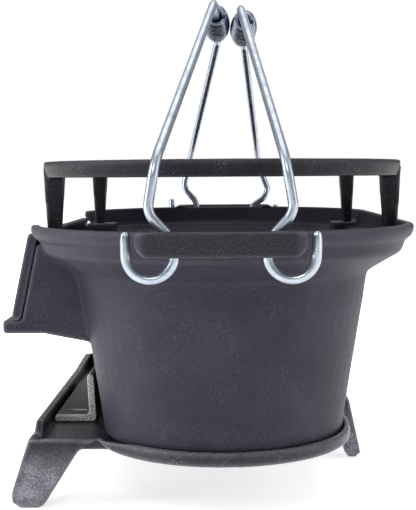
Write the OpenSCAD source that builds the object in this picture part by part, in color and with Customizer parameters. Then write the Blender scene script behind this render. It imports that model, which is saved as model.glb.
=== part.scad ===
// Oblong cast iron charcoal grill: fire bowl on a three-legged base, raised cooking grate,
// tip-out fire door, sliding draft door, loose fire grate and two wire bail handles with coil grips.
// Millimetres, +Z up, long axis along Y, the doors face -X. Origin: centre of the footprint on the ground.

/* [Bowl] */
// half length of the straight sides of every oval casting
half_spine = 108; // [100:1:116]
// radius of the bowl rim at its widest
rim_r = 119.6; // [118.6:0.2:120.6]
// thickness of the bowl wall
wall = 6; // [5:0.5:7]

/* [Chute and fire door] */
// half width of the coal chute
chute_half = 124; // [118:1:126]
// backward lean of the fire door in degrees
door_lean = 12.3; // [11:0.1:13]
// height of the fire door plate
door_h = 52.5; // [46:0.5:52.5]

/* [Cooking grate] */
// width of one grate bar
bar_w = 6; // [5:0.5:7]
// number of slots along the grate
slot_count = 24; // [16:2:26]

/* [Bails] */
// diameter of the bail wire
wire_d = 5.4; // [4.8:0.1:5.6]
// diameter of the coil grips in the middle
grip_d = 19.2; // [17:0.2:19.4]

/* [Base] */
// width of the front feet where they stand
foot_w = 22; // [18:1:26]

/* [Hidden] */
sx = 9.05;                   // the bowl spine sits behind the centre of the footprint
shelf_half = half_spine + 21;
shelf_x = -121;
shelf_r = 10;
pivot = [-128.9, 122.6];
wire_y = half_spine + 128;   // the hooks hang in this plane at each end
loop_y = half_spine + 142;   // outer face of each loop handle
leg_y = half_spine + 12;     // the four grate legs and their seats
seat_x = 103;
seat_z = 169.8;              // top of the seats
draft_y = -20.5;             // middle of the draft door when closed
draft_half = 59.5;
ledge_z = 111.4;             // underside of the chute and its ledge
left_grip = [-3.6, 318.3];
right_grip = [15.8, 314.7];

iron = [0.26, 0.25, 0.28];
iron_dark = [0.17, 0.17, 0.19];
zinc = [0.72, 0.75, 0.78];

// ---------- helpers ----------

// sweep of a (radius, height) section round the oval spine
module oval() {
    for (a = [0, 180])
        rotate([0, 0, a]) {
            translate([0, half_spine, 0])
                rotate_extrude(angle = 180, $fn = 160) children();
            translate([0, half_spine, 0])
                rotate([90, 0, 0])
                    linear_extrude(2 * half_spine) children();
        }
}

// solid oval with an (radius, height) outline, bottom to top
module oval_solid(pts) {
    z0 = pts[0][1];
    z1 = pts[len(pts) - 1][1];
    oval() polygon(concat([[0, z0]], pts, [[0, z1]]));
}

// flat oval plate
module oval_plate(r, z, h) {
    translate([0, 0, z])
        linear_extrude(h) {
            for (s = [-1, 1])
                translate([0, s * half_spine]) circle(r = r, $fn = 160);
            square([2 * r, 2 * half_spine], center = true);
        }
}

// slab with a section in the X-Z plane, running along Y between two values
module along_y(y0, y1) {
    translate([0, y1, 0])
        rotate([90, 0, 0])
            linear_extrude(y1 - y0) children();
}

// rectangle with round corners, lower left corner at p
module round_rect(p, s, r) {
    for (i = [0, 1], j = [0, 1])
        translate([p[0] + r + i * (s[0] - 2 * r), p[1] + r + j * (s[1] - 2 * r)])
            circle(r = r, $fn = 32);
    translate([p[0] + r, p[1]]) square([s[0] - 2 * r, s[1]]);
    translate([p[0], p[1] + r]) square([s[0], s[1] - 2 * r]);
}

function unit(v) = v / norm(v);
function arc_pts(c, r, a0, a1, n) = [for (i = [0 : n]) let (a = a0 + (a1 - a0) * i / n)
    [c[0] + r * cos(a), c[1], c[2] + r * sin(a)]];
// rounded corner at q between p and s
function corner(p, q, s, r, n) =
    let (u = unit(p - q), v = unit(s - q), half = acos(u * v) / 2, d = r / tan(half),
         c = q + unit(u + v) * r / sin(half), a = q + u * d - c, b = q + v * d - c,
         sweep = 180 - 2 * half)
    [for (i = [0 : n]) let (t = i / n)
        c + (a * sin((1 - t) * sweep) + b * sin(t * sweep)) / sin(sweep)];

// round wire along a path of points
module wire(path, r, n = 14) {
    m = len(path);
    tan_at = [for (i = [0 : m - 1]) unit(path[min(i + 1, m - 1)] - path[max(i - 1, 0)])];
    // carry a side vector along the path so the tube never twists
    sides = [for (i = 0, v = unit(cross(tan_at[0], [0.02, 1, 0.01])); i < m;
        i = i + 1, v = i < m ? unit(v - tan_at[i] * (v * tan_at[i])) : v) v];
    pts = [for (i = [0 : m - 1]) let (u = sides[i], w = cross(tan_at[i], u))
        for (k = [0 : n - 1]) let (a = 360 * k / n) path[i] + r * (cos(a) * u + sin(a) * w)];
    quads = [for (i = [0 : m - 2], k = [0 : n - 1]) let (k2 = (k + 1) % n)
        [i * n + k, (i + 1) * n + k, (i + 1) * n + k2, i * n + k2]];
    tris = [for (q = quads) each [[q[0], q[1], q[2]], [q[0], q[2], q[3]]]];
    polyhedron(concat(pts, [path[0], path[m - 1]]),
        concat(tris, [for (k = [0 : n - 1]) [m * n, k, (k + 1) % n]],
            [for (k = [0 : n - 1]) [m * n + 1, (m - 1) * n + (k + 1) % n, (m - 1) * n + k]]));
}

// ---------- base ----------

module foot_front(s) {
    // tapered foot: side outline crossed with the outline seen from the front
    f = shelf_half;
    intersection() {
        along_y(-150, 150)
            polygon([[-122, 45.4], [-133.8, 10], [-133.6, 4.5], [-129.5, 0], [-117, 0],
                [-113.5, 2.2], [-92, 36], [-88, 40.4], [-82, 44]]);
        rotate([90, 0, 90])
            linear_extrude(400, center = true)
                polygon([[s * (f + 1), 45.5], [s * (f - 1.5), 4.5], [s * (f - 5), 0],
                    [s * (f - 2 - foot_w), 0], [s * (f - 5.5 - foot_w), 4], [s * (f - 32), 36],
                    [s * (f - 40), 45.5]]);
        translate([-200, -200, 0]) cube([400, 400, 60]);
    }
}

module foot_rear() {
    intersection() {
        along_y(-20, 20)
            polygon([[70, 47], [78, 44], [84, 40], [89, 5], [92.5, 0], [98, 0], [101, 4],
                [92, 44], [90.5, 47.4], [88, 49.6], [70, 49.6]]);
        rotate([90, 0, 90])
            linear_extrude(120)
                polygon([[-15, 52], [-7, 5], [-3, 0], [9, 0], [13, 5], [19, 52]]);
    }
}

module shelf_outline(grow) {
    for (s = [-1, 1])
        translate([shelf_x + shelf_r, s * (shelf_half - shelf_r)])
            circle(r = shelf_r + grow, $fn = 64);
    translate([shelf_x - grow, -(shelf_half - shelf_r)])
        square([shelf_r + 10, 2 * (shelf_half - shelf_r)]);
    translate([shelf_x + shelf_r, -(shelf_half + grow)])
        square([60, 2 * (shelf_half + grow)]);
}

module base() {
    color(iron_dark)
        translate([sx, 0, 0]) {
            difference() {
                union() {
                    // ring that carries the bowl; its rim stops where the shelf begins
                    difference() {
                        oval() polygon([[60, 43], [79, 43], [80.4, 43.8], [81, 45.5], [81, 49.4],
                            [80.2, 51.2], [78.6, 52], [77.4, 51.8], [76.8, 50.6], [76.6, 48],
                            [60, 48]]);
                        translate([-90, 0, 0])
                            rotate([90, 0, 90])
                                linear_extrude(46)
                                    polygon([[-half_spine - 64, 52.4], [-half_spine - 26, 45.8],
                                        [half_spine + 26, 45.8], [half_spine + 64, 52.4],
                                        [half_spine + 64, 60], [-half_spine - 64, 60]]);
                    }
                    // front shelf with its raised lip
                    difference() {
                        translate([0, 0, 38.6])
                            linear_extrude(7.2) shelf_outline(0);
                        translate([-78, -110, 38]) cube([60, 220, 20]);
                        translate([0, 0, 30]) oval_plate(72, 0, 30);
                    }
                    difference() {
                        translate([0, 0, 45])
                            linear_extrude(12) shelf_outline(-1.5);
                        translate([0, 0, 44])
                            linear_extrude(14) shelf_outline(-6.5);
                        // the lip stops at the near foot and is highest at the far end
                        translate([-114, -140, 43]) cube([60, 160, 16]);
                        translate([-130, 0, 0])
                            rotate([90, 0, 90])
                                linear_extrude(70)
                                    polygon([[-140, 54.2], [60, 54.2], [104, 56.4], [120, 57],
                                        [120, 60], [-140, 60]]);
                        rotate([90, 0, 90])
                            linear_extrude(400, center = true)
                                polygon([[-140, 40], [-128, 40], [-126, 47], [-114, 54.3],
                                    [-114, 60], [-140, 60]]);
                        translate([-96, 60, 43]) cube([40, 90, 20]);
                    }
                    for (s = [-1, 1]) foot_front(s);
                    foot_rear();
                }
                // seat of the bowl
                oval_solid([[76.6, 48], [76.6, 60]]);
                // everything inside the ring is open below
                translate([0, 0, -1]) oval_plate(60, 0, 60);
                // track for the draft door
                translate([-114.2, draft_y - draft_half - 8, 45]) cube([42, 2 * draft_half + 75, 9]);
            }
        }
}

// ---------- fire bowl ----------

module rim_handle() {
    // cast loop beyond each end of the rim, with round corners in plan
    difference() {
        intersection() {
            translate([0, 0, 160])
                linear_extrude(30)
                    difference() {
                        union() {
                            round_rect([-44.5, loop_y - 25], [89, 25], 6.5);
                            translate([-44.5, loop_y - 50]) square([89, 38]);
                        }
                        // slot where the wires pass
                        round_rect([-36, loop_y - 55], [72, 45.5], 5);
                    }
            along_y(loop_y - 60, loop_y + 10)
                polygon([[-44.5, 179.6], [-43, 181.2], [43, 181.2], [44.5, 179.6], [44.5, 175],
                    [42.6, 170.6], [39.4, 168.2], [36, 167.8], [-36, 167.8], [-39.4, 168.2],
                    [-42.6, 170.6], [-44.5, 175]]);
        }
        oval_solid([[110, 150], [110, 200]]);
    }
}

module bowl_outer() {
    oval_solid([[71, 48], [75, 48.6], [76, 51.5], [79.4, 76], [83.7, 102.5], [88.6, 132.7],
        [90.5, 146], [91.3, 149.4], [93.4, 151.4], [99.3, 155.2], [105, 158.6], [111, 162],
        [112.4, 163.6], [114.7, 170], [117, 171.2], [rim_r - 0.8, 173.4],
        [rim_r, 176], [rim_r, 178.6], [rim_r - 1.2, 179.75]]);
}

module bowl_cavity() {
    oval_solid([[76 - wall - 4, 54], [79.4 - wall - 1.5, 58], [79.4 - wall, 76],
        [83.7 - wall, 102.5], [88.6 - wall, 132.7], [89.4 - wall, 147.5], [91 - wall, 151.8],
        [102, 162.2], [104.5, 165], [110, 165.4], [111, 167.4], [rim_r - 5.4, 179.2],
        [rim_r - 4.6, 180.5]]);
}

// blocks under the four legs of the cooking grate
module leg_seats(z) {
    for (a = [-1, 1], b = [-1, 1])
        translate([a * (seat_x + 1.5) - 13.5, b * leg_y - 11, z]) cube([27, 22, seat_z - z]);
}

module chute_section(front) {
    // side view of the chute wall; front = distance behind the pivot line
    dx = tan(door_lean);
    polygon([[-76, 104.6], [-84, 106], [-98, 108.6], [-112, ledge_z], [-124.6, ledge_z],
        [-124.6, 119.5], [pivot[0] + front, 121.2],
        [pivot[0] + front + (166.5 - 122) * dx, 166.5], [-106, 168], [-80, 168]]);
}

module fire_bowl() {
    color(iron)
        translate([sx, 0, 0]) {
            difference() {
                union() {
                    bowl_outer();
                    // chute walls and floor
                    along_y(-chute_half, chute_half) chute_section(3.5);
                    // ledge under the fire door
                    along_y(-chute_half, chute_half)
                        polygon([[-112, ledge_z], [-136.6, ledge_z], [-137.7, 112.4], [-137.7, 118.8],
                            [-137, 119.5], [-112, 119.5]]);
                    for (a = [0, 180]) rotate([0, 0, a]) rim_handle();
                    // steps that seat the legs of the cooking grate
                    intersection() {
                        leg_seats(160);
                        bowl_outer();
                    }
                }
                difference() {
                    union() {
                        bowl_cavity();
                        // mouth of the chute into the bowl, open at the top
                        along_y(-chute_half + 6.5, chute_half - 6.5)
                            polygon([[-60, 112.6], [-84, 112.6], [-112, 117.8], [-120, 119.5],
                                [-140, 119.51], [-140, 190], [-80, 190], [-80, 140], [-60, 140]]);
                        // gap in the rim above the door
                        translate([-150, -chute_half - 0.6, 168.2])
                            cube([56, 2 * chute_half + 1.2, 20]);
                    }
                    leg_seats(150);
                }
                // groove the door rolls in
                along_y(-chute_half - 1, chute_half + 1)
                    translate(pivot) circle(r = 3.35, $fn = 48);
                // draft opening low in the front wall
                translate([-95, -72, 56]) cube([40, 96, 20]);
            }
        }
}

// ---------- fire door ----------

module fire_door() {
    color(iron)
        translate([sx + pivot[0], 0, pivot[1]])
            rotate([0, door_lean, 0]) {
                // plate with a rolled lower edge, a slightly rounded top and a sunk panel
                difference() {
                    along_y(-chute_half, chute_half)
                        union() {
                            circle(r = 3, $fn = 48);
                            polygon([[-3, 0], [3, 0], [3, door_h - 1.2], [1.8, door_h],
                                [-1.6, door_h], [-3, door_h - 1.4]]);
                        }
                    translate([-4, -110, 9]) cube([2.2, 220, door_h - 18]);
                }
                // finger tab at the top
                along_y(-16, 16)
                    polygon([[-2, door_h - 9], [-7.6, door_h - 3], [-8, door_h - 1], [-7, door_h],
                        [-2, door_h - 0.4]]);
            }
}

// ---------- draft door ----------

module draft_door() {
    color(iron)
        translate([sx, draft_y, 0])
            difference() {
                along_y(-draft_half, draft_half)
                    polygon([[-112.9, 46.4], [-112, 45.2], [-87.6, 45.2], [-85.8, 46.4],
                        [-85.4, 49.2], [-86.7, 75], [-87.8, 77], [-90, 77.2], [-91.2, 75.4],
                        [-90, 51.6], [-91.4, 49.8], [-112, 49.8], [-112.9, 48.8]]);
                // finger slot
                translate([-100, -45, 40])
                    linear_extrude(20) round_rect([-6, -2.6], [12, 5.2], 2.5);
            }
}

// ---------- loose fire grate ----------

module fire_grate() {
    color(iron_dark)
        translate([sx, 0, 0])
            difference() {
                union() {
                    oval_plate(73.6, 79, 6);
                    for (x = [-48, 48], y = [-96, 0, 96])
                        translate([x, y, 54]) cylinder(h = 26, r1 = 6, r2 = 8, $fn = 48);
                }
                for (j = [-9 : 9])
                    translate([0, j * 17, 78])
                        linear_extrude(8) {
                            w = abs(j) < 7 ? 52 : (abs(j) < 8 ? 48 : (abs(j) < 9 ? 42 : 30));
                            round_rect([4, -4.5], [w, 9], 4);
                            round_rect([-4 - w, -4.5], [w, 9], 4);
                        }
            }
}

// ---------- cooking grate ----------

module grate_leg(a, b) {
    // tapered leg standing on its seat inside the rim
    translate([a * (seat_x - 1.4), b * leg_y, seat_z + 0.2])
        intersection() {
            rotate([90, 0, 0])
                linear_extrude(20, center = true)
                    polygon([[a * 6.4, 0], [a * 8.4, 44], [-a * 3.8, 44], [-a * 0.8, 0]]);
            rotate([90, 0, 90])
                linear_extrude(24, center = true)
                    polygon([[-4.6, 0], [4.6, 0], [7.4, 44], [-7.4, 44]]);
        }
}

module cooking_grate() {
    pitch = 2 * (half_spine + 98) / slot_count;
    color(iron_dark)
        translate([sx, 0, 0])
            union() {
                difference() {
                    // rim band, slightly drafted
                    oval_solid([[107.6, 208.7], [109, 208.9], [111.4, 216.6], [110.7, 218.2],
                        [109.8, 218.4]]);
                    // hollow underside leaves a band and the bars
                    oval_solid([[101.2, 208], [101.8, 218.5]]);
                }
                // bars
                intersection() {
                    union() {
                        for (j = [-(slot_count / 2) + 1 : slot_count / 2 - 1])
                            translate([0, j * pitch, 0])
                                along_y(-bar_w / 2, bar_w / 2)
                                    translate([-104, 209.8]) square([208, 8.4]);
                        for (x = [-52, 0, 52])
                            translate([x - 3.5, -half_spine - 106, 209]) cube([7, 2 * half_spine + 212, 9]);
                    }
                    translate([0, 0, 200]) oval_plate(104, 0, 30);
                }
                for (a = [-1, 1], b = [-1, 1]) grate_leg(a, b);
            }
}

// ---------- bails ----------

// hook, kink and leg of one end; m = side of the bowl, t = end, k = rise of this end,
// kink = how far out the leg bends, g = place of the grip axis, dx = how far the leg meets
// the top bar to the side of that axis
function bail_end(m, t, k, kink, g, dx) =
    let (y = t * wire_y,
         hook = arc_pts([m * 36.7, y, 168.4 + k], 12.7, m > 0 ? 0 : 180, m > 0 ? -180 : 360, 14),
         tip = [m * 49.6, y, 180.6 + k],
         in_slot = [m * 24, y, 168.4 + k],
         slot_top = [m * 27.6, y, 179.5 + k],
         bend = [m * kink, y, 190.6 + k],
         shoulder = [m * 33.6, y, 217],
         top = [g[0] + dx, t * 98, g[1]],
         at_grip = [g[0], t * 52, g[1]])
    concat([tip], hook,
        corner(in_slot, slot_top, bend, 9, 4), corner(slot_top, bend, shoulder, 11, 8),
        corner(bend, shoulder, top, 20, 8), corner(shoulder, top, at_grip, 13, 9), [at_grip]);

module bail(m, rise, far_kink, g, near_dx, far_dx) {
    near = bail_end(m, -1, 0, 38, g, near_dx);
    far = bail_end(m, 1, rise, far_kink, g, far_dx);
    n = len(far);
    color(zinc)
        translate([sx, 0, 0])
            wire(concat(near, [for (i = [n - 1 : -1 : 0]) far[i]]), wire_d / 2);
}

module bail_left() {
    bail(-1, 6.5, 38, left_grip, -0.8, 0);
}

module bail_right() {
    bail(1, 0.5, 44, right_grip, -3.2, 2);
}

// ---------- coil grips ----------

module grip(g) {
    // barrel of close-wound wire, thicker in the middle, sliding on the bail
    turns = 21;
    len2 = 46;
    p = 2 * len2 / turns;
    color(zinc)
        translate([sx + g[0], 0, g[1]])
            rotate([-90, 0, 0])
                difference() {
                    rotate_extrude($fn = 64)
                        union() {
                            translate([0, -len2]) square([grip_d / 2 - 4.4, 2 * len2]);
                            for (i = [0 : turns - 1])
                                let (z = -len2 + p * (i + 0.5), f = z / len2)
                                    translate([grip_d / 2 - p / 2 - 3.2 * f * f, z])
                                        circle(r = p / 2 + 0.05, $fn = 24);
                        }
                    cylinder(h = 120, r = wire_d / 2 + 0.08, center = true, $fn = 64);
                }
}

module grip_left() {
    grip(left_grip);
}

module grip_right() {
    grip(right_grip);
}

base();
fire_bowl();
fire_door();
draft_door();
fire_grate();
cooking_grate();
bail_left();
bail_right();
grip_left();
grip_right();
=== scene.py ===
"""Looks of the oblong cast iron charcoal grill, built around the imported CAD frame."""
import math
import bmesh
import bpy
from mathutils import Matrix, Vector


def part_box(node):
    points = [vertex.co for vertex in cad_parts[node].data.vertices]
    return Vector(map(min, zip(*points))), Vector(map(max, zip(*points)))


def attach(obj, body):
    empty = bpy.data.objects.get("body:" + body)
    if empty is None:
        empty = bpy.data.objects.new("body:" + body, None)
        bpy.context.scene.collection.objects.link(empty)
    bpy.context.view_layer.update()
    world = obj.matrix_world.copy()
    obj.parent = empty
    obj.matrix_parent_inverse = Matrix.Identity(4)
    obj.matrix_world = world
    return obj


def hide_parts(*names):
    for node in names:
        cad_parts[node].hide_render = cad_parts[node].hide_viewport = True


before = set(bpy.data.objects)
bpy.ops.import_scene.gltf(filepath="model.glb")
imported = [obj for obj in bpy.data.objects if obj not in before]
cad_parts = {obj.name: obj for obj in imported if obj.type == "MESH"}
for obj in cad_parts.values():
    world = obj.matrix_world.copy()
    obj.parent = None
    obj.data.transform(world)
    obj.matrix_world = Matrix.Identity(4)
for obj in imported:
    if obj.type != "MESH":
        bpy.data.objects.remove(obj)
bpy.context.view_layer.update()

MM = 0.001


# ---------- camera: stands low in front of one loop handle ----------

# the bowl's spine runs along Y, this far inside its rear rim
REAR_RIM_RADIUS = 119.6 * MM
bowl_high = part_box("fire_bowl")[1]
SPINE_X = bowl_high[0] - REAR_RIM_RADIUS

# place in metres, turns in radians
CAMERA_AT = Vector((SPINE_X + 3.2 * MM, -786.2 * MM, 210.1 * MM))
CAMERA_YAW = -0.018
CAMERA_DOWN = 0.0753
CAMERA_ROLL = -0.007
FOCAL_MM = 75.5
SENSOR_MM = 36
CLIP_START = 20 * MM


def add_camera():
    """Camera that looks along the bowl, slightly down and slightly tilted."""
    sin_y, cos_y = math.sin(CAMERA_YAW), math.cos(CAMERA_YAW)
    sin_p, cos_p = math.sin(CAMERA_DOWN), math.cos(CAMERA_DOWN)
    sin_r, cos_r = math.sin(CAMERA_ROLL), math.cos(CAMERA_ROLL)
    forward = Vector((sin_y * cos_p, cos_y * cos_p, -sin_p))
    level = Vector((cos_y, -sin_y, 0))
    up = level.cross(forward)
    right = level * cos_r + up * sin_r
    top = up * cos_r - level * sin_r
    turn = Matrix((right, top, -forward)).transposed().to_4x4()
    data = bpy.data.cameras.new("camera")
    data.sensor_width = SENSOR_MM
    data.lens = FOCAL_MM
    data.clip_start = CLIP_START
    camera = bpy.data.objects.new("camera", data)
    camera.matrix_world = Matrix.Translation(CAMERA_AT) @ turn
    bpy.context.scene.collection.objects.link(camera)
    bpy.context.scene.camera = camera


# ---------- shader nodes ----------

def new_material(name):
    """A material, its node tree and its shader."""
    material = bpy.data.materials.new(name)
    material.use_nodes = True
    tree = material.node_tree
    return material, tree, tree.nodes["Principled BSDF"]


def object_coords(tree):
    """The place of a point on the piece itself."""
    return tree.nodes.new("ShaderNodeTexCoord").outputs["Object"]


def axes(tree, vector):
    """The X, Y and Z of a vector."""
    split = tree.nodes.new("ShaderNodeSeparateXYZ")
    tree.links.new(vector, split.inputs["Vector"])
    return split.outputs


def noise(tree, coords, scale, detail, rough):
    """Cloudy values around 0.5; scale is in features per metre."""
    node = tree.nodes.new("ShaderNodeTexNoise")
    node.inputs["Scale"].default_value = scale
    node.inputs["Detail"].default_value = detail
    node.inputs["Roughness"].default_value = rough
    tree.links.new(coords, node.inputs["Vector"])
    return node.outputs["Fac"]


def ramp(tree, source, stops):
    """Colour ramp; a stop's value is a colour, or one number for a grey."""
    node = tree.nodes.new("ShaderNodeValToRGB")
    while len(node.color_ramp.elements) < len(stops):
        node.color_ramp.elements.new(0.5)
    for element, (place, value) in zip(node.color_ramp.elements, stops):
        colour = value if isinstance(value, tuple) else (value, value, value)
        element.position = place
        element.color = (*colour, 1)
    tree.links.new(source, node.inputs["Fac"])
    return node.outputs["Color"]


def blend(tree, kind, factor, a, b):
    """Mix of two colours; each input is a number, a colour or a socket."""
    node = tree.nodes.new("ShaderNodeMix")
    node.data_type = "RGBA"
    node.blend_type = kind
    # the colour inputs of this node come after those for its other data types
    for value, socket in ((factor, 0), (a, 6), (b, 7)):
        if isinstance(value, (int, float)):
            node.inputs[socket].default_value = value
        elif isinstance(value, tuple):
            node.inputs[socket].default_value = (*value, 1)
        else:
            tree.links.new(value, node.inputs[socket])
    return node.outputs[2]


def overlap(tree, a, b):
    """Mask where both masks are."""
    return blend(tree, "MULTIPLY", 1.0, a, b)


def rise(tree, value, none_at, full_at):
    """Mask that goes from 0 to 1 between two values."""
    node = tree.nodes.new("ShaderNodeMapRange")
    node.inputs["From Min"].default_value = none_at
    node.inputs["From Max"].default_value = full_at
    tree.links.new(value, node.inputs["Value"])
    return node.outputs["Result"]


def distance_from(tree, value, middle):
    """How far a value lies from a middle value."""
    offset = tree.nodes.new("ShaderNodeMath")
    offset.operation = "SUBTRACT"
    tree.links.new(value, offset.inputs[0])
    offset.inputs[1].default_value = middle
    away = tree.nodes.new("ShaderNodeMath")
    away.operation = "ABSOLUTE"
    tree.links.new(offset.outputs[0], away.inputs[0])
    return away.outputs[0]


def add_bump(tree, shader, height, strength, depth):
    """Small relief in the shader's normal; depth is in metres."""
    bump = tree.nodes.new("ShaderNodeBump")
    bump.inputs["Strength"].default_value = strength
    bump.inputs["Distance"].default_value = depth
    tree.links.new(height, bump.inputs["Height"])
    tree.links.new(bump.outputs["Normal"], shader.inputs["Normal"])


# ---------- cast iron ----------

MOTTLE_SCALE = 28
PATCH_SCALE = 60
# size of the painted glints on the cast grain
GLINT_SIZE = 1.1 * MM

# the outer bar of a loop handle: its half length, and the width of its soft borders
BAR_HALF = 37 * MM
BAR_END_FADE = 3.5 * MM
BAR_SIDE_FADE = 0.8 * MM
# size of the painted glints on the bars' fine grain
BAR_GLINT_SIZE = 0.5 * MM
BAR_ROUGHNESS = 0.26
BAR_SHADE = (0.42, 0.42, 0.38)
# tone of those painted glints
BAR_GLINT_TONE = (0.2, 0.2, 0.195)

# the painted highlight on the feet fades in over this distance above and below the given height
FEET_FADE = 12 * MM


def sand_grain_glints(tree, coords, patch, strength):
    """Mask of painted glints: bright specks where sharp sand grains catch light."""
    cells = tree.nodes.new("ShaderNodeTexVoronoi")
    cells.inputs["Scale"].default_value = 1 / GLINT_SIZE
    tree.links.new(coords, cells.inputs["Vector"])
    dots = ramp(tree, cells.outputs["Distance"], [(0.08, 1), (0.28, 0)])
    where = ramp(tree, patch, [(0.5, 0), (0.68, strength)])
    return overlap(tree, dots, where)


def loop_bars(tree, coords, bar_y, middle_x):
    """Mask of the outer bars of the loop handles."""
    at = axes(tree, coords)
    from_middle = distance_from(tree, at["Y"], 0)
    beyond = rise(tree, from_middle, bar_y - BAR_SIDE_FADE, bar_y)
    from_spine = distance_from(tree, at["X"], middle_x)
    between = rise(tree, from_spine, BAR_HALF + BAR_END_FADE, BAR_HALF)
    return overlap(tree, beyond, between)


def black_bars(tree, coords, tone, bar):
    """The outer bars are blacker, with painted glints where their fine grain catches light."""
    tone = blend(tree, "MULTIPLY", bar, tone, BAR_SHADE)
    fine = noise(tree, coords, 1 / BAR_GLINT_SIZE, detail=2, rough=0.5)
    # painted glints on the bars' fine grain
    bar_glints = ramp(tree, fine, [(0.5, 0), (0.68, 0.26)])
    return blend(tree, "MIX", overlap(tree, bar_glints, bar), tone, BAR_GLINT_TONE)


def painted_foot_highlight(tree, coords, tone, height, grain, patch, pointiness, bare_and_highlight_tone):
    """Painted highlight on the feet below a height: grainy and uneven like a glossy sheen, and
    weaker on their edges.
    """
    low = rise(tree, axes(tree, coords)["Z"], height + FEET_FADE, height - FEET_FADE)
    inside = ramp(tree, pointiness, [(0.5, 1), (0.53, 0.25)])
    grainy = ramp(tree, grain, [(0.38, 0.2), (0.66, 0.7)])
    uneven = ramp(tree, patch, [(0.35, 0.45), (0.62, 1)])
    foot_highlight = overlap(tree, overlap(tree, overlap(tree, low, inside), grainy), uneven)
    return blend(tree, "MIX", foot_highlight, tone, bare_and_highlight_tone)


def ground_ends(tree, coords, tone, ends, grain, bare_and_highlight_tone):
    """The end faces are ground bright, with the grain showing through."""
    along = axes(tree, coords)["Y"]
    grainy = ramp(tree, grain, [(0.43, 0.08), (0.58, 1)])
    for inner, outer in ends:
        ground = overlap(tree, rise(tree, along, inner, outer), grainy)
        tone = blend(tree, "MIX", ground, tone, bare_and_highlight_tone)
    return tone


# The pale tone colours the paler edges (partly real wear, partly painted highlight), the painted
# highlight on the feet and the bright ground ends.
def cast_iron(name, dark, light, roughness, shine, grain_mm, relief_mm, glint, edge,
              wear_and_highlight_tone=(0.2, 0.198, 0.215), glint_tone=(0.3, 0.3, 0.31),
              loops=None, feet=None, ends=None):
    """Seasoned sand-cast iron: mottled tone, grain bump, bright specks that are painted glints,
    paler edges that are partly real wear and partly painted highlight.

    The strengths of the painted glints and of the paler edges go from 0 to 1. loops, feet and ends
    are where those extras lie on the piece, in metres, and are left out where the piece has none.
    """
    material, tree, shader = new_material(name)
    coords = object_coords(tree)
    mottle = noise(tree, coords, MOTTLE_SCALE, detail=5, rough=0.6)
    patch = noise(tree, coords, PATCH_SCALE, detail=3, rough=0.5)
    grain = noise(tree, coords, 1 / (grain_mm * MM), detail=3, rough=0.6)
    grain_tone = ramp(tree, grain, [(0.36, 0.5), (0.64, 1.4)])
    pointiness = tree.nodes.new("ShaderNodeNewGeometry").outputs["Pointiness"]

    tone = ramp(tree, mottle, [(0.3, dark), (0.7, light)])
    tone = blend(tree, "MULTIPLY", 0.75, tone, grain_tone)
    # painted glints: bright specks where the grain catches light
    tone = blend(tree, "MIX", sand_grain_glints(tree, coords, patch, glint), tone, glint_tone)
    # paler edges: partly real wear, partly painted highlight where the edges catch light
    edge_wear_and_highlight = ramp(tree, pointiness, [(0.505, 0), (0.56, edge)])
    edge_wear_and_highlight = blend(tree, "MULTIPLY", 0.5, edge_wear_and_highlight, grain_tone)
    tone = blend(tree, "MIX", edge_wear_and_highlight, tone, wear_and_highlight_tone)
    gloss = ramp(tree, grain, [(0.3, roughness - 0.08), (0.7, roughness + 0.1)])
    if loops:
        bar = loop_bars(tree, coords, *loops)
        tone = black_bars(tree, coords, tone, bar)
        gloss = blend(tree, "MIX", bar, gloss, (BAR_ROUGHNESS, BAR_ROUGHNESS, BAR_ROUGHNESS))
    if feet:
        # painted highlight on the feet, standing in for a glossy reflection
        tone = painted_foot_highlight(tree, coords, tone, feet, grain, patch, pointiness, wear_and_highlight_tone)
    if ends:
        tone = ground_ends(tree, coords, tone, ends, grain, wear_and_highlight_tone)

    tree.links.new(tone, shader.inputs["Base Color"])
    tree.links.new(gloss, shader.inputs["Roughness"])
    shader.inputs["Metallic"].default_value = 0.0
    shader.inputs["Specular IOR Level"].default_value = shine
    shader.inputs["Specular Tint"].default_value = (0.93, 0.91, 1, 1)
    add_bump(tree, shader, grain, strength=0.55, depth=relief_mm * MM)
    return material


# ---------- plated steel ----------

DULL_PATCH_SCALE = 130
DULL_SHARE = 0.74
PLATING_GRAIN_SCALE = 1400


def plated_steel(name, colour, roughness, metal):
    """Bright zinc plating with duller, rougher patches and a very fine grain."""
    material, tree, shader = new_material(name)
    coords = object_coords(tree)
    patch = noise(tree, coords, DULL_PATCH_SCALE, detail=5, rough=0.6)
    dull = tuple(part * DULL_SHARE for part in colour)
    tone = ramp(tree, patch, [(0.32, dull), (0.6, colour)])
    gloss = ramp(tree, patch, [(0.3, roughness + 0.12), (0.7, roughness)])
    tree.links.new(tone, shader.inputs["Base Color"])
    tree.links.new(gloss, shader.inputs["Roughness"])
    shader.inputs["Metallic"].default_value = metal
    fine = noise(tree, coords, PLATING_GRAIN_SCALE, detail=3, rough=0.5)
    add_bump(tree, shader, fine, strength=0.15, depth=0.03 * MM)
    return material


# ---------- meshes ----------

def smooth_faces(mesh):
    """Shade every face smooth."""
    for polygon in mesh.polygons:
        polygon.use_smooth = True


def mesh_object(name, mesh, material):
    """An object in the scene with this mesh and only this material."""
    thing = bpy.data.objects.new(name, mesh)
    bpy.context.scene.collection.objects.link(thing)
    thing.data.materials.clear()
    thing.data.materials.append(material)
    return thing


def apply_modifiers(thing, material):
    """Swap the mesh for what its modifiers make of it."""
    graph = bpy.context.evaluated_depsgraph_get()
    mesh = bpy.data.meshes.new_from_object(thing.evaluated_get(graph))
    thing.modifiers.clear()
    thing.data = mesh
    mesh.materials.clear()
    mesh.materials.append(material)
    smooth_faces(mesh)


# ---------- castings ----------

WAVE_SIZE = 12 * MM
WAVE_HEIGHT = 0.12 * MM


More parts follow.
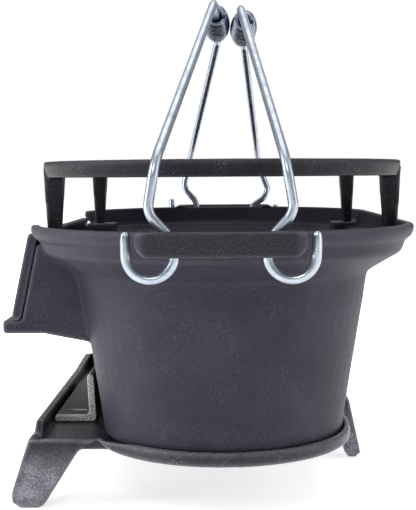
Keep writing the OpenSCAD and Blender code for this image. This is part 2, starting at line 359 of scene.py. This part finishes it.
def casting(node, body, material, voxel_mm, rounds):
    """Copy of a CAD casting with the soft corners and slightly wavy skin that sand casting gives."""
    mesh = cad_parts[node].data.copy()
    thing = mesh_object(node + "_casting", mesh, material)
    remesh = thing.modifiers.new("skin", "REMESH")
    remesh.mode = "VOXEL"
    remesh.voxel_size = voxel_mm * MM
    remesh.adaptivity = 0
    smooth = thing.modifiers.new("round", "SMOOTH")
    smooth.factor = 0.5
    smooth.iterations = rounds
    wave = bpy.data.textures.new(node + "_wave", "CLOUDS")
    wave.noise_scale = WAVE_SIZE
    wave.noise_depth = 2
    displace = thing.modifiers.new("wave", "DISPLACE")
    displace.texture = wave
    displace.texture_coords = "LOCAL"
    displace.strength = WAVE_HEIGHT
    displace.mid_level = 0.5
    apply_modifiers(thing, material)
    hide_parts(node)
    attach(thing, body)


# ---------- wires ----------

# the rounding draws a tube in by this much, so it is swelled back
TUBE_SWELL = 0.09 * MM
SAME_POINT = 1e-6

# a tube's tip: the last ring's share of the radius, and how far it stands out
TIP_NARROWING = 0.6
TIP_STAND_OUT = 0.35

COIL_WIRE = 4.0 * MM
COIL_TURNS = 21
COIL_STEPS = 36
COIL_SIDES = 16
# the barrel's end turns are this much smaller in radius, and still clear the wire
COIL_TAPER = 2.2 * MM


def bail(node, body, material):
    """The CAD bail with its tube smoothed round."""
    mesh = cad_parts[node].data.copy()
    thing = mesh_object(node + "_wire", mesh, material)
    shape = bmesh.new()
    shape.from_mesh(mesh)
    bmesh.ops.remove_doubles(shape, verts=shape.verts, dist=SAME_POINT)
    # the tube's flat sides become four-sided again, so that they divide evenly
    bmesh.ops.join_triangles(shape, faces=shape.faces, angle_face_threshold=0.5,
                             angle_shape_threshold=1.2)
    shape.to_mesh(mesh)
    shape.free()
    divide = thing.modifiers.new("round", "SUBSURF")
    divide.levels = 2
    divide.render_levels = 2
    swell = thing.modifiers.new("swell", "DISPLACE")
    swell.mid_level = 0
    swell.strength = TUBE_SWELL
    apply_modifiers(thing, material)
    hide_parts(node)
    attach(thing, body)


def tube_rings(shape, path, radius, sides):
    """Rings of vertices along a list of points, each square to the path."""
    rings = []
    last = len(path) - 1
    side = None
    for i, point in enumerate(path):
        along = (path[min(i + 1, last)] - path[max(i - 1, 0)]).normalized()
        if side is None:
            side = along.orthogonal().normalized()
        side = (side - along * side.dot(along)).normalized()
        other = along.cross(side)
        ring = []
        for k in range(sides):
            turn = math.tau * k / sides
            spoke = side * math.cos(turn) + other * math.sin(turn)
            ring.append(shape.verts.new(point + spoke * radius))
        rings.append(ring)
    return rings


def join_rings(shape, ring, following):
    """Four-sided faces between two rings."""
    sides = len(ring)
    for k in range(sides):
        k2 = (k + 1) % sides
        shape.faces.new((ring[k], ring[k2], following[k2], following[k]))


def tube_mesh(name, path, radius, sides):
    """Tube along a list of points, closed at both ends, with rounded tips."""
    shape = bmesh.new()
    rings = tube_rings(shape, path, radius, sides)
    for ring, following in zip(rings, rings[1:]):
        join_rings(shape, ring, following)
    for end, before in ((0, 1), (-1, -2)):
        centre = path[end]
        outward = (centre - path[before]).normalized()
        tip = centre + outward * radius * TIP_STAND_OUT
        inner = [shape.verts.new(tip + (v.co - centre) * TIP_NARROWING) for v in rings[end]]
        join_rings(shape, rings[end], inner)
        shape.faces.new(inner)
    bmesh.ops.recalc_face_normals(shape, faces=shape.faces)
    mesh = bpy.data.meshes.new(name)
    shape.to_mesh(mesh)
    shape.free()
    smooth_faces(mesh)
    return mesh


def coil_grip(node, body, material):
    """Close-wound barrel spring on the bail."""
    low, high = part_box(node)
    centre = (Vector(low) + Vector(high)) / 2
    half = (high[1] - low[1] - COIL_WIRE) / 2
    outer = (high[0] - low[0] - COIL_WIRE) / 2
    path = []
    for i in range(COIL_TURNS * COIL_STEPS + 1):
        share = 2 * i / (COIL_TURNS * COIL_STEPS) - 1
        radius = outer - COIL_TAPER * share * share
        turn = math.tau * i / COIL_STEPS
        offset = Vector((radius * math.cos(turn), share * half, radius * math.sin(turn)))
        path.append(centre + offset)
    mesh = tube_mesh(node, path, COIL_WIRE / 2, COIL_SIDES)
    thing = mesh_object(node + "_coil", mesh, material)
    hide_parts(node)
    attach(thing, body)


# ---------- stage ----------

FLOOR_HALF = 6.0
FLOOR_DROP = 0.5 * MM
LIGHTS_AIM = (0, 0, 0.15)

# name, place and size in metres, power in watts
LIGHTS = [
    ("left", (-1.7, -0.5, 0.7), (1.0, 1.4), 24),
    ("right", (1.7, -0.5, 0.7), (1.0, 1.4), 10),
    ("front", (-0.4, -2.2, 1.6), (0.8, 0.6), 14),
    ("top", (0, 0.1, 2.4), (2.2, 2.2), 26),
    ("back", (0, 2.4, 1.2), (2.4, 1.0), 8),
]

# tones of the room: the first holds at the horizon and below it, the last straight above
ROOM = [
    (0.0, (0.34, 0.35, 0.37)),
    (0.15, (0.26, 0.27, 0.29)),
    (0.5, (0.4, 0.41, 0.43)),
    (1.0, (0.7, 0.7, 0.7)),
]


def add_floor():
    """Pale floor that glows a little, so that only a soft shadow shows."""
    far = FLOOR_HALF
    corners = [(-far, -far, 0), (far, -far, 0), (far, far, 0), (-far, far, 0)]
    mesh = bpy.data.meshes.new("floor")
    mesh.from_pydata(corners, [], [(0, 1, 2, 3)])
    material, _, shader = new_material("floor_white")
    shader.inputs["Base Color"].default_value = (0.9, 0.9, 0.9, 1)
    shader.inputs["Roughness"].default_value = 0.9
    shader.inputs["Emission Color"].default_value = (1, 1, 1, 1)
    shader.inputs["Emission Strength"].default_value = 0.7
    floor = mesh_object("floor", mesh, material)
    floor.location.z = -FLOOR_DROP


def add_world():
    """White backdrop for the camera; what lights the object and mirrors in it is a grey room."""
    world = bpy.data.worlds.new("studio")
    world.use_nodes = True
    tree = world.node_tree
    tree.nodes.clear()
    direction = tree.nodes.new("ShaderNodeTexCoord").outputs["Generated"]
    room = ramp(tree, axes(tree, direction)["Z"], ROOM)
    lit = tree.nodes.new("ShaderNodeBackground")
    lit.inputs["Strength"].default_value = 1.0
    tree.links.new(room, lit.inputs["Color"])
    seen = tree.nodes.new("ShaderNodeBackground")
    seen.inputs["Color"].default_value = (1, 1, 1, 1)
    path = tree.nodes.new("ShaderNodeLightPath")
    either = tree.nodes.new("ShaderNodeMixShader")
    tree.links.new(path.outputs["Is Camera Ray"], either.inputs[0])
    tree.links.new(lit.outputs[0], either.inputs[1])
    tree.links.new(seen.outputs[0], either.inputs[2])
    out = tree.nodes.new("ShaderNodeOutputWorld")
    tree.links.new(either.outputs[0], out.inputs["Surface"])
    bpy.context.scene.world = world


def add_lights():
    """White area lights, all aimed at the middle of the object."""
    for name, at, (width, height), power in LIGHTS:
        data = bpy.data.lights.new(name, "AREA")
        data.shape = "RECTANGLE"
        data.size = width
        data.size_y = height
        data.energy = power
        data.color = (1, 1, 1)
        light = bpy.data.objects.new(name, data)
        light.location = at
        aim = Vector(LIGHTS_AIM) - Vector(at)
        light.rotation_euler = aim.to_track_quat("-Z", "Y").to_euler()
        bpy.context.scene.collection.objects.link(light)


# ---------- the object ----------

# where the outer bars of the loop handles begin
LOOP_BAR_Y = bowl_high[1] - 10 * MM

# where the bright end faces of the draft door begin and are full
END_NONE = 1.6 * MM
END_FULL = 0.8 * MM
draft_low, draft_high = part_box("draft_door")
DRAFT_ENDS = [
    (draft_low[1] + END_NONE, draft_low[1] + END_FULL),
    (draft_high[1] - END_NONE, draft_high[1] - END_FULL),
]

# the base's feet get a painted highlight below this height
FOOT_HIGHLIGHT_BELOW = 30 * MM

IRON = cast_iron(
    "iron_body", dark=(0.019, 0.0175, 0.028), light=(0.031, 0.029, 0.0445),
    roughness=0.5, shine=0.2, grain_mm=0.9, relief_mm=0.6, glint=0.4, edge=0.35,
    loops=(LOOP_BAR_Y, SPINE_X))
# on the base the pale tone is mostly the painted highlight on its feet and edges, and the speck tone
# the painted glints on its grain
IRON_BASE = cast_iron(
    "iron_base", dark=(0.006, 0.0056, 0.0085), light=(0.013, 0.0125, 0.018),
    roughness=0.27, shine=0.32, grain_mm=1.0, relief_mm=0.7, glint=1.0, edge=0.4,
    wear_and_highlight_tone=(0.46, 0.46, 0.52), glint_tone=(0.55, 0.55, 0.57), feet=FOOT_HIGHLIGHT_BELOW)
IRON_BLACK = cast_iron(
    "iron_black", dark=(0.004, 0.0038, 0.0056), light=(0.009, 0.0086, 0.012),
    roughness=0.42, shine=0.2, grain_mm=1.0, relief_mm=0.6, glint=0.8, edge=0.25)
IRON_WORN = cast_iron(
    "iron_worn", dark=(0.010, 0.0095, 0.014), light=(0.018, 0.017, 0.0245),
    roughness=0.42, shine=0.25, grain_mm=0.8, relief_mm=0.5, glint=0.5, edge=1.0,
    wear_and_highlight_tone=(0.68, 0.68, 0.68), ends=DRAFT_ENDS)
ZINC = plated_steel("zinc_wire", colour=(0.43, 0.48, 0.545), roughness=0.24, metal=0.92)
COIL = plated_steel("coil_steel", colour=(0.22, 0.255, 0.33), roughness=0.24, metal=0.92)

# node, body, material, voxel size in mm, smoothing rounds
casting("fire_bowl", "bowl", IRON, 1.1, 2)
casting("fire_door", "fire_door", IRON, 0.9, 2)
casting("base", "base", IRON_BASE, 1.0, 4)
casting("draft_door", "draft_door", IRON_WORN, 0.6, 4)
casting("fire_grate", "fire_grate", IRON_BLACK, 1.6, 4)
casting("cooking_grate", "cooking_grate", IRON_BLACK, 1.0, 2)
for side in ("left", "right"):
    bail("bail_" + side, "bail_" + side, ZINC)
    coil_grip("grip_" + side, "grip_" + side, COIL)

add_floor()
add_world()
add_lights()
add_camera()
bpy.context.scene.view_settings.view_transform = "Standard"
